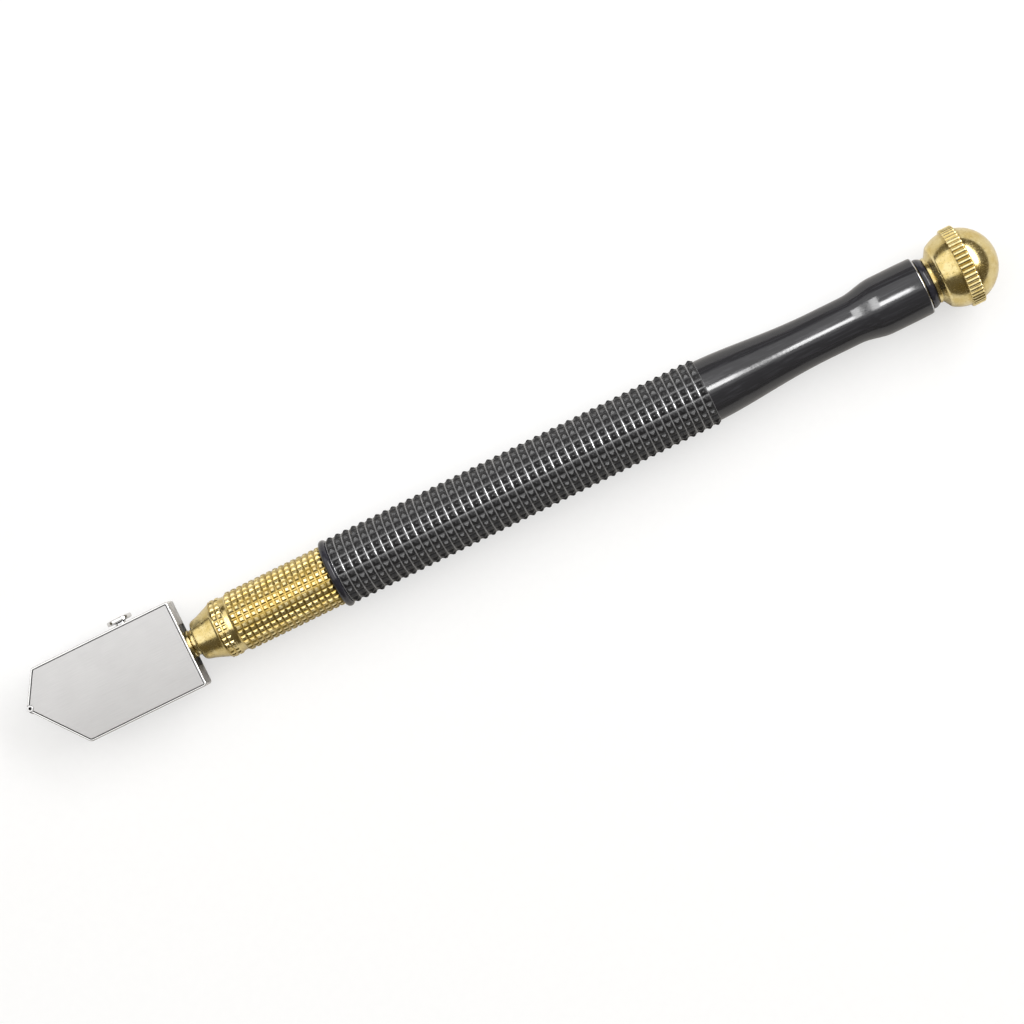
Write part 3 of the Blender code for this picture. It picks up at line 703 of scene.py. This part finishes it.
def make_wheel_axle(steel, painted_bore_shade):
    """The rivet: a thin shank between two formed heads, drilled, with its bores painted black as
    painted shade.
    """
    end = AXLE_HIGH.z
    neck = HEAD_HALF - AXLE_HEAD_DEEP
    half = [(neck, AXLE_R), (neck, AXLE_HEAD_R), (end, AXLE_HEAD_R), (end, 0)]
    outline = [(-x, r) for x, r in reversed(half)] + half
    piece = turned("axle_rivet", soften(outline, 0.06 * MM), 48, place=upright("wheel_axle"))
    piece.data.materials.append(steel)
    bores = []
    for side in (-1, 1):
        bottom, mouth = sorted((side * (end - AXLE_BORE_DEEP), side * 2 * end))
        bores.append(cylinder("bore", bottom, mouth, AXLE_BORE_R, upright("wheel_axle"), 32))
    # the bores are painted black, as painted shade
    return cut(piece, *bores, finish=painted_bore_shade)


def make_cutting_wheel():
    """A wheel ground to a blunt V around its rim."""
    low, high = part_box("cutting_wheel")
    half, radius = high.z, (high.y - low.y) / 2
    bore = AXLE_R + FIT
    shoulder_r = radius - (half - WHEEL_BLUNT) * tan(WHEEL_BEVEL)
    outline = [(-half, bore), (-half, shoulder_r), (0, radius), (half, shoulder_r), (half, bore)]
    return turned("carbide_wheel", soften(outline, 0.03 * MM), 96, place=upright("cutting_wheel"))


def make_lock_screw():
    """A cheese-head screw, made along its own axis from its nose up."""
    low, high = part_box("lock_screw")
    nose, top = low.y - AXIS_Y, high.y - AXIS_Y
    shank, under = nose + SCREW_NOSE_LONG, top - SCREW_HEAD_THICK
    head_r = (high.x - low.x) / 2
    outline = [
        (nose, 0), (nose, SCREW_NOSE_R), (shank, SCREW_NOSE_R), (shank + SCREW_TAPER, SCREW_R),
        (under, SCREW_R), (under, head_r), (top, head_r), (top, 0),
    ]
    piece = turned("lock_screw_turned", soften(outline, 0.28 * MM), 96, place=sideways(SCREW_X))
    reach = SCREW_DRIVE_REACH * head_r
    drive = block(
        "drive_slot", (SCREW_X - reach, high.y - SCREW_DRIVE_DEEP, -SCREW_DRIVE_HALF),
        (SCREW_X + reach, high.y + reach, SCREW_DRIVE_HALF),
    )
    return cut(piece, drive)


# ---------------------------------------------------------------- stem and nose

# The slot in the stem for the lock screw's nose, and the stem's oil port
LOCK_SLOT_LONG = 1.5 * MM
LOCK_SLOT_FLOOR_R = 1.1 * MM
LOCK_SLOT_SWING = 43  # degrees each side of the screw
PORT_X = 40.65 * MM
PORT_R = 0.35 * MM


def washer(name, node, bore, rounding):
    """A flat ring that fills its node's box around a bore."""
    start, end = span(node)
    outline = [(start, bore), (start, width(node)), (end, width(node)), (end, bore)]
    return turned(name, soften(outline, rounding), 96)


def make_stem():
    """The oil-fed stem: shank, guide, collar, a groove for its ring and the valve's flange."""
    start, end = span("stem")
    bore_r, bore_end_x = 0.7 * MM, 41.2 * MM
    guide_r = 2.0 * MM
    collar_x, collar_end_x, collar_r = 30.1 * MM, 30.5 * MM, 2.3 * MM
    groove_x, groove_end_x, groove_r = 35.0 * MM, 36.1 * MM, 1.45 * MM
    flange_x, flange_end_x, flange_r = 41.25 * MM, 42.4 * MM, width("stem")
    shoulder_x = span("swivel_washer")[1] + 2 * FIT
    outline = [
        (bore_end_x, 0), (bore_end_x, bore_r), (start, bore_r), (start, STEM_SHANK_R),
        (shoulder_x, STEM_SHANK_R), (shoulder_x, guide_r), (collar_x, guide_r),
        (collar_x, collar_r), (collar_end_x, collar_r), (collar_end_x, guide_r),
        (groove_x, guide_r), (groove_x, groove_r), (groove_end_x, groove_r),
        (groove_end_x, guide_r), (flange_x, guide_r), (flange_x, flange_r),
        (flange_end_x, flange_r), (flange_end_x, STEM_SHANK_R), (end, STEM_SHANK_R), (end, 0),
    ]
    piece = turned("stem_turned", soften(outline, 0.08 * MM), 96)
    port = cylinder("oil_port", -flange_r, flange_r, PORT_R, sideways(TIP_X + PORT_X), 24)
    return cut(piece, lock_slot(), port)


def lock_slot():
    """The cutter for a sector of a groove, where the lock screw's nose can swing."""
    angles = np.radians(np.linspace(-LOCK_SLOT_SWING, LOCK_SLOT_SWING, 13))
    fan = [(2 * STEM_SHANK_R, a) for a in angles]
    fan += [(LOCK_SLOT_FLOOR_R, a) for a in reversed(angles)]
    return loft("lock_slot", [
        [(x, AXIS_Y + r * cos(a), r * sin(a)) for r, a in fan]
        for x in (SCREW_X - LOCK_SLOT_LONG / 2, SCREW_X + LOCK_SLOT_LONG / 2)
    ])


# The nose's two knurls, small and large, which share their count around and their tips
FERRULE_AROUND = 30
FERRULE_TIP = 3 * KNURL_STEP
SMALL_X, SMALL_END_X, SMALL_R = 35.1 * MM, 36.95 * MM, 5.15 * MM
SMALL_ROWS = 2
SMALL_DEEP = 0.22 * MM
LARGE_X, LARGE_END_X, LARGE_R = 38.0 * MM, 55.9 * MM, width("ferrule")
LARGE_ROWS = 16
LARGE_DEEP = 0.27 * MM


def make_ferrule(plain, gripped):
    """The nose: a hollow cone, a short knurl, a groove and the finger knurl."""
    start, end = span("ferrule")
    groove_r = 4.87 * MM
    mouth_r, spigot_r, chamber_r, guide_r = 2.5 * MM, 4.2 * MM, 3.6 * MM, 2.05 * MM
    guide_x, chamber_x = 32.5 * MM, 40.0 * MM
    cone = [
        (start, mouth_r), (start, 3.25 * MM), (31.1 * MM, 3.52 * MM), (32.1 * MM, 3.78 * MM),
        (33.2 * MM, 4.2 * MM), (SMALL_X - 0.3 * MM, 4.84 * MM), (SMALL_X, SMALL_R),
    ]
    groove = [
        (SMALL_END_X, SMALL_R), (SMALL_END_X + 0.15 * MM, groove_r),
        (LARGE_X - 0.2 * MM, groove_r), (LARGE_X, LARGE_R),
    ]
    hollow = [
        (LARGE_END_X, spigot_r), (end, spigot_r), (end, chamber_r), (chamber_x, chamber_r),
        (chamber_x, guide_r), (guide_x, guide_r), (guide_x, mouth_r),
    ]
    outline = soften(cone, 0.3 * MM, 5)[:-1]
    outline += [(x, SMALL_R) for x in knurl_stations(SMALL_X, SMALL_END_X, SMALL_ROWS)]
    outline += soften(groove, 0.1 * MM)[6:-6]  # without the softened ends
    outline += [(x, LARGE_R) for x in knurl_stations(LARGE_X, LARGE_END_X, LARGE_ROWS)]
    outline += hollow
    small = knurl(SMALL_X, SMALL_END_X, SMALL_ROWS, FERRULE_AROUND, SMALL_DEEP, FERRULE_TIP)
    large = knurl(LARGE_X, LARGE_END_X, LARGE_ROWS, FERRULE_AROUND, LARGE_DEEP, FERRULE_TIP)

    def relief(x, r, phi):
        outside = r > groove_r
        return np.where(outside, small(x, r, phi) + large(x, r, phi), 0)

    around = FERRULE_AROUND * KNURL_SAMPLES
    piece = turned("nose_turned", outline, around, relief, sharp_angle=20)
    piece.data.materials.append(plain)
    refinish(piece, gripped, lambda face: LARGE_X < face.center.x - TIP_X < LARGE_END_X)
    return piece


def make_front_ring():
    """The round black bead between the brass and the grip."""
    start, end = span("front_ring")
    crown = (end - start) / 2
    bore = 4.25 * MM
    outline = arc(start + crown, width("front_ring") - crown, crown, 180, 0, 24)
    return turned("bead_turned", outline + [(end, bore), (start, bore)], 160)


# ---------------------------------------------------------------- barrel

GRIP_START, GRIP_END = span("barrel")[0], 125.3 * MM
GRIP_R = width("barrel")
GRIP_ROWS = 46
GRIP_PITCH = (GRIP_END - GRIP_START) / GRIP_ROWS
GRIP_AROUND = 26
GRIP_DEEP = 0.35 * MM


def make_barrel(enamel, knurled, bare):
    """The knurled grip and the smooth waisted neck, hollow for the oil, with a bright edge."""
    end = span("barrel")[1]
    neck_r, waist_r, flare_r, end_r = 5.36 * MM, 4.17 * MM, 5.02 * MM, 4.62 * MM
    waist_x, waist_end_x, flare_x = 146.0 * MM, 151.4 * MM, 157.2 * MM
    chamber_r, oil_r, seat_r = 4.3 * MM, 3.0 * MM, 3.5 * MM
    chamber_end_x, oil_x, seat_x = 122.0 * MM, 140.0 * MM, 158.0 * MM
    shoulder = 0.3 * MM
    edge_x = end - 0.8 * shoulder
    outline = [(GRIP_START, chamber_r), (GRIP_START, GRIP_R - GRIP_DEEP)]
    outline += [(x, GRIP_R) for x in knurl_stations(GRIP_START, GRIP_END, GRIP_ROWS)]
    outline += [(GRIP_END, neck_r)]
    outline += eased(GRIP_END, neck_r, waist_x, waist_r, 28, lead=0.88)
    outline += [(waist_end_x, waist_r)]
    outline += eased(waist_end_x, waist_r, flare_x, flare_r, 16)
    outline += [(end - 3 * MM, flare_r), (end - 2 * shoulder, flare_r - 0.04 * MM)]
    outline += arc(end - shoulder, flare_r - 0.08 * MM - shoulder, shoulder, 90, 30, 6)
    outline += [
        (end - FIT, end_r + FIT), (end, end_r), (end, seat_r), (seat_x, seat_r),
        (seat_x, oil_r), (oil_x, oil_r), (chamber_end_x, chamber_r),
    ]
    pattern = knurl(
        GRIP_START, GRIP_END, GRIP_ROWS, GRIP_AROUND, GRIP_DEEP,
        tip=2 * KNURL_STEP, floor=KNURL_STEP, bow=1.9,
    )

    def relief(x, r, phi):
        return np.where(r > GRIP_R - FIT, pattern(x, r, phi), 0)

    around = GRIP_AROUND * KNURL_SAMPLES
    piece = turned("handle_barrel", outline, around, relief, sharp_angle=32)
    piece.data.materials.append(enamel)
    refinish(piece, knurled, lambda face: face.center.x < TIP_X + GRIP_END)
    refinish(piece, bare, lambda face: face.center.x > TIP_X + edge_x)
    return piece


def make_end_bush():
    """The black ring in the barrel's end: a shank, and a flange that is dished for the ball."""
    start, end = span("end_bush")
    shank_r, bore_r = 3.4 * MM, 2.55 * MM
    flange_x, flange_r, mouth_r = 164.75 * MM, width("end_bush"), 4.06 * MM
    recess_x, recess_r = 164.9 * MM, 3.05 * MM
    outline = [
        (start, bore_r), (start, shank_r), (flange_x, shank_r), (flange_x, flange_r),
        (flange_x + 0.5 * MM, flange_r - 0.02 * MM), (end - 0.3 * MM, mouth_r + 0.12 * MM),
        (end, mouth_r - 0.05 * MM), (end, recess_r), (recess_x, recess_r), (recess_x, bore_r),
    ]
    return turned("bush_turned", soften(outline, 0.15 * MM, 5), 160)


# ---------------------------------------------------------------- ball cap

BALL_R = 6.5 * MM
BELT_X, BELT_END_X = 170.55 * MM, 172.95 * MM
BELT_RIBS = 48
BELT_RIB_COLUMNS = 8
BELT_RIB_DEEP = 0.3 * MM
BELT_RIB_FULLNESS = 0.7  # below one, ribs are wide and the grooves between them narrow


def make_ball_cap():
    """The oil cap: a stud, a collar and a ball with a ribbed belt."""
    start, end = span("ball_cap")
    centre = end - BALL_R
    belt_r, crown = width("ball_cap"), 0.35 * MM
    stud_r = 2.45 * MM
    groove_x, groove_end_x, groove_r = 165.0 * MM, 165.9 * MM, 2.0 * MM
    collar_x, ball_x = 166.05 * MM, 167.6 * MM

    def angle(station):
        """Where the ball's surface is at a station, in degrees round from its far end."""
        offset = station - centre
        return np.degrees(atan2(sqrt(BALL_R**2 - offset**2), offset))

    outline = soften([
        (start, 0), (start, stud_r), (groove_x, stud_r), (groove_x, groove_r),
        (groove_end_x, groove_r), (groove_end_x, stud_r), (collar_x, stud_r),
        (collar_x, 3.95 * MM), (166.45 * MM, 4.02 * MM), (166.6 * MM, 3.93 * MM),
        (166.75 * MM, 4.1 * MM), (167.45 * MM, 5.18 * MM),
    ], 0.06 * MM)[:-1]
    outline += arc(centre, 0, BALL_R, angle(ball_x), angle(BELT_X), 14)
    outline += arc(BELT_X + crown, belt_r - crown, crown, 180, 90, 6)
    outline += arc(BELT_END_X - crown, belt_r - crown, crown, 90, 0, 6)
    outline += arc(centre, 0, BALL_R, angle(BELT_END_X), 0, 36)[:-1]
    outline += [(end, 0)]

    def relief(x, r, phi):
        rib = np.abs(np.sin(phi * BELT_RIBS / 2)) ** BELT_RIB_FULLNESS
        on_belt = (x > BELT_X - FIT) & (x < BELT_END_X + FIT) & (r > BALL_R + FIT)
        return np.where(on_belt, BELT_RIB_DEEP * (1 - rib), 0)

    columns = BELT_RIBS * BELT_RIB_COLUMNS
    return turned("cap_turned", outline, columns, relief, sharp_angle=50)


# ---------------------------------------------------------------- inside


def o_ring(name, node, inner_r):
    """A round ring in the middle of its node's box."""
    start, end = span(node)
    section_r = (width(node) - inner_r) / 2
    section = arc((start + end) / 2, inner_r + section_r, section_r, 180, -180, 16)
    return turned(name, section[:-1], 96)


def make_valve_plug():
    """The plug behind the spring: an oil hole, and a slot for a screwdriver."""
    end = TIP_X + span("valve_plug")[1]
    slot_half, slot_deep = 0.45 * MM, 0.8 * MM
    slot = block(
        "plug_slot", (end - slot_deep, AXIS_Y - CLEAR, -slot_half),
        (end + CLEAR, AXIS_Y + CLEAR, slot_half),
    )
    return cut(washer("plug_turned", "valve_plug", 1.2 * MM, 0.15 * MM), slot)


def make_stem_spring():
    """A compression spring: round wire on a helix with flat closed ends."""
    start, end = span("stem_spring")
    wire = 0.3 * MM  # its radius
    mean_r = width("stem_spring") - wire
    turns, closed_turns, around, sides = 7.5, 1.0, 40, 12
    free = end - start - 2 * wire
    count = round(turns * around)
    points, faces = [], []
    for n in range(count + 1):
        turn = turns * n / count
        open_share = min(max((turn - closed_turns) / (turns - 2 * closed_turns), 0), 1)
        packed = min(turn, closed_turns) + max(turn - turns + closed_turns, 0)
        lift = packed * 2 * wire + open_share * (free - 2 * closed_turns * 2 * wire)
        angle = 2 * pi * turn
        outward = Vector((0, cos(angle), sin(angle)))
        middle = outward * mean_r + Vector((start + wire + lift, 0, 0))
        for k in range(sides):
            a = 2 * pi * k / sides
            points.append(tuple(middle + outward * wire * cos(a) + Vector((wire * sin(a), 0, 0))))
    for n in range(count):
        for k in range(sides):
            a, b, after = n * sides, (n + 1) * sides, (k + 1) % sides
            faces.append((a + k, a + after, b + after, b + k))
    faces.append(tuple(reversed(range(sides))))
    faces.append(tuple(range(count * sides, (count + 1) * sides)))
    made = to_object("spring_wound", points, faces)
    made.data.transform(IN_LINE)
    return made


# ---------------------------------------------------------------- stage, light, camera

FLOOR_REACH = 3.0
FLOOR_SEEN = (0.37, 0.37, 0.37)
FLOOR_SEEN_GRAIN = (0.36, 0.36, 0.36)
FLOOR_REFLECTED = (0.73, 0.715, 0.695)
FLOOR_GLOW = 0.62
ROOM = (0.125, 0.108, 0.075)
BACKDROP = (0.93, 0.93, 0.93)


def make_floor():
    """A pale floor that the black bead and the ball's belt rest on.

    The camera sees it as grey paper that glows, which comes out near white. Reflections
    and bounced light get plain pale paper.
    """
    bead_x = middle_x("front_ring")
    belt_x = TIP_X + BELT_X + 0.2 * MM
    bead_z, belt_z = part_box("front_ring")[0].z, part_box("ball_cap")[0].z
    slope = (belt_z - bead_z) / (belt_x - bead_x)
    points = [
        (x * FLOOR_REACH, y * FLOOR_REACH, bead_z + slope * (x * FLOOR_REACH - bead_x))
        for x, y in ((-1, -1), (1, -1), (1, 1), (-1, 1))
    ]
    floor = to_object("floor", points, [(0, 1, 2, 3)])
    f = Finish("lit_paper")
    grain = f.spread(f.noise(1.5 * MM, detail=5), 0, 1)
    seen = f.node("LightPath", {}, "Is Camera Ray")
    tone = f.mix(seen, FLOOR_REFLECTED, f.mix(grain, FLOOR_SEEN, FLOOR_SEEN_GRAIN))
    floor.data.materials.append(f.set(
        base_color=tone, roughness=0.85, specular_ior_level=0.0,
        emission_color=(1, 1, 1), emission_strength=f.times(seen, FLOOR_GLOW),
    ))


def make_world():
    """Dim warm surroundings for the reflections, and a pale backdrop for the camera."""
    world = bpy.data.worlds.new("studio")
    bpy.context.scene.world = world
    world.use_nodes = True
    tree = world.node_tree
    background = tree.nodes["Background"]
    path = tree.nodes.new("ShaderNodeLightPath")
    mix = tree.nodes.new("ShaderNodeMix")
    mix.data_type = "RGBA"
    tree.links.new(path.outputs["Is Camera Ray"], mix.inputs[MIX_SHARE])
    mix.inputs[MIX_FIRST].default_value = (*ROOM, 1)
    mix.inputs[MIX_SECOND].default_value = (*BACKDROP, 1)
    tree.links.new(mix.outputs[MIX_RESULT], background.inputs["Color"])


def panel(name, along, across, distance, radiance, only=None):
    """A soft box that faces the middle of the tool, and lights it all or only one piece.

    Its sides are at angles from overhead, in degrees: along towards +X, across towards +Y.
    """

    def middle_and_size(low, high):
        return radians(low + high) / 2, 2 * distance * tan(radians(high - low) / 2)

    tilt_x, long = middle_and_size(*along)
    tilt_y, wide = middle_and_size(*across)
    data = bpy.data.lights.new(name, "AREA")
    data.shape = "RECTANGLE"
    data.size, data.size_y = long, wide
    data.energy = radiance * pi * long * wide
    light = bpy.data.objects.new(name, data)
    bpy.context.scene.collection.objects.link(light)
    turn = Matrix.Rotation(tilt_x, 4, "Y") @ Matrix.Rotation(-tilt_y, 4, "X")
    light.matrix_world = turn @ Matrix.Translation((0, 0, distance))
    if only:
        lit = bpy.data.collections.new(name + "_lit")
        lit.objects.link(bpy.data.objects[only])
        light.light_linking.receiver_collection = lit


def make_lights():
    """A wide soft box and a key, and three panels that light one piece each."""
    panel("soft_box", along=(-65, 35), across=(-17, 62), distance=0.75, radiance=1.2)
    for name, along, across, radiance, piece in (
        ("neck_strip", (1.5, 15), (-3, 10.5), 24.0, "handle_barrel"),
        ("grip_light", (-14, 1.5), (-5, 39), 11.0, "handle_barrel"),
        ("nose_light", (-22, 10), (-10, 36), 1.7, "nose_turned"),
    ):
        panel(name, along, across, 0.7, radiance, piece)
    panel("key", along=(40, 58), across=(-12, 40), distance=0.8, radiance=8.0)


CAMERA_TILT = radians(3.53)  # from overhead, towards the ball
CAMERA_ROLL = radians(26.14)
CAMERA_DISTANCE = 468.5 * MM
CAMERA_AIM = Vector((-1.175, -4.82, 0)) * MM  # from the middle of the object
CAMERA_LENS = 99.1


def make_camera():
    """The photo's view, from almost overhead, with the tool rising from lower left."""
    aim = (CAD_BOX[0] + CAD_BOX[1]) / 2 + CAMERA_AIM
    aim.z = 0
    along = Vector((cos(CAMERA_TILT), 0, -sin(CAMERA_TILT)))
    back = Vector((sin(CAMERA_TILT), 0, cos(CAMERA_TILT)))
    across = Vector((0, 1, 0))
    right = along * cos(CAMERA_ROLL) - across * sin(CAMERA_ROLL)
    up = along * sin(CAMERA_ROLL) + across * cos(CAMERA_ROLL)
    data = bpy.data.cameras.new("camera")
    data.lens = CAMERA_LENS
    data.clip_start = 0.01
    camera = bpy.data.objects.new("camera", data)
    bpy.context.scene.collection.objects.link(camera)
    turn = Matrix((right, up, back)).transposed().to_4x4()
    camera.matrix_world = Matrix.Translation(aim + back * CAMERA_DISTANCE) @ turn
    bpy.context.scene.camera = camera


# ---------------------------------------------------------------- assembly


def dress(piece, node, body, finish=None):
    """Puts a piece in its node's place, on its body, and in its finish if it has none yet."""
    if finish:
        piece.data.materials.append(finish)
    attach(piece, body)
    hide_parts(node)
    return piece


def keep(node, finish):
    """Gives a CAD node that stays in place its finish."""
    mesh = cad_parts[node].data
    mesh.materials.clear()
    mesh.materials.append(finish)


def edge_grime_and_shade(f):
    """Grime and painted shade in a piece's corners and grooves, darker where the surface is more
    hollow.
    """
    return f.pointiness(0.6, 0, 0.46, 0.53)


def knurl_grime_and_shade(f):
    """Patchy grime and painted shade in the grooves of the nose's finger knurl."""
    grooves = f.sunk(LARGE_R - 0.02 * MM, 0.13 * MM)
    return f.times(grooves, f.spread(f.noise(0.8 * MM, detail=4), 0.6, 1))


def build():
    brass = turned_brass("brass_turned")
    # the edged brass is painted darker in its corners and grooves, partly grime and partly painted
    # shade
    edged_brass = turned_brass("brass_edged", hollows=edge_grime_and_shade)
    # the knurled brass is painted darker in its grooves, partly grime and partly painted shade
    knurled_brass = turned_brass("brass_knurled", dull=0.1, hollows=knurl_grime_and_shade)
    chrome = bright_chrome("chrome_plate")
    # the darker of the two zinc greys, for the head's pockets and bores, is painted shade
    dull, cast = dull_zinc("zinc_dull", 0.72, 0.28), dull_zinc("zinc_cast", 0.24)
    satin = satin_plate("satin_nickel")
    steel = machined_metal("steel_plated", STEEL)
    aluminium = machined_metal("bare_aluminium", ALUMINIUM)
    rubber = soft_rubber("rubber_black")
    cotton = twisted_cotton("cotton_wick")
    black = gloss_black("enamel_black")
    blue_black = gloss_black("enamel_blue_black", ENAMEL_BLUE)
    grip_black = knurled_black(
        "enamel_knurled", TIP_X + GRIP_START, GRIP_PITCH, GRIP_R, GRIP_DEEP,
    )

    dress(make_head_frame(chrome, dull, cast), "head_frame", "head")
    dress(make_face_plate("front_panel", 1), "front_face_plate", "head", satin)
    dress(make_face_plate("back_panel", -1), "back_face_plate", "head", satin)
    # the rivet's bores are painted black, as painted shade
    dress(make_wheel_axle(steel, gloss_black("oily_bore")), "wheel_axle", "head")
    dress(make_cutting_wheel(), "cutting_wheel", "wheel", ground_carbide("carbide"))
    dress(make_lock_screw(), "lock_screw", "lock_screw", chrome)
    ring = washer("washer_turned", "swivel_washer", STEM_SHANK_R + FIT, 0.12 * MM)
    dress(ring, "swivel_washer", "head", brass)
    dress(make_stem(), "stem", "stem", brass)
    dress(make_ferrule(edged_brass, knurled_brass), "ferrule", "handle")
    dress(make_front_ring(), "front_ring", "handle", blue_black)
    dress(make_barrel(black, grip_black, aluminium), "barrel", "handle")
    dress(make_end_bush(), "end_bush", "handle", blue_black)
    dress(make_ball_cap(), "ball_cap", "cap", edged_brass)

    ring = o_ring("stem_ring_round", "stem_o_ring", 1.475 * MM)
    dress(ring, "stem_o_ring", "stem", rubber)
    ring = o_ring("cap_ring_round", "cap_o_ring", 2.05 * MM)
    dress(ring, "cap_o_ring", "cap_seal", rubber)
    ring = washer("seal_moulded", "valve_seal", 2.25 * MM, 0.15 * MM)
    dress(ring, "valve_seal", "handle", rubber)
    dress(make_valve_plug(), "valve_plug", "handle", brass)
    spring = dress(make_stem_spring(), "stem_spring", "handle", steel)
    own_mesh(spring)
    keep("head_wick", cotton)
    keep("stem_wick", cotton)


build()
make_floor()
make_world()
make_lights()
make_camera()
bpy.context.scene.view_settings.view_transform = "Standard"
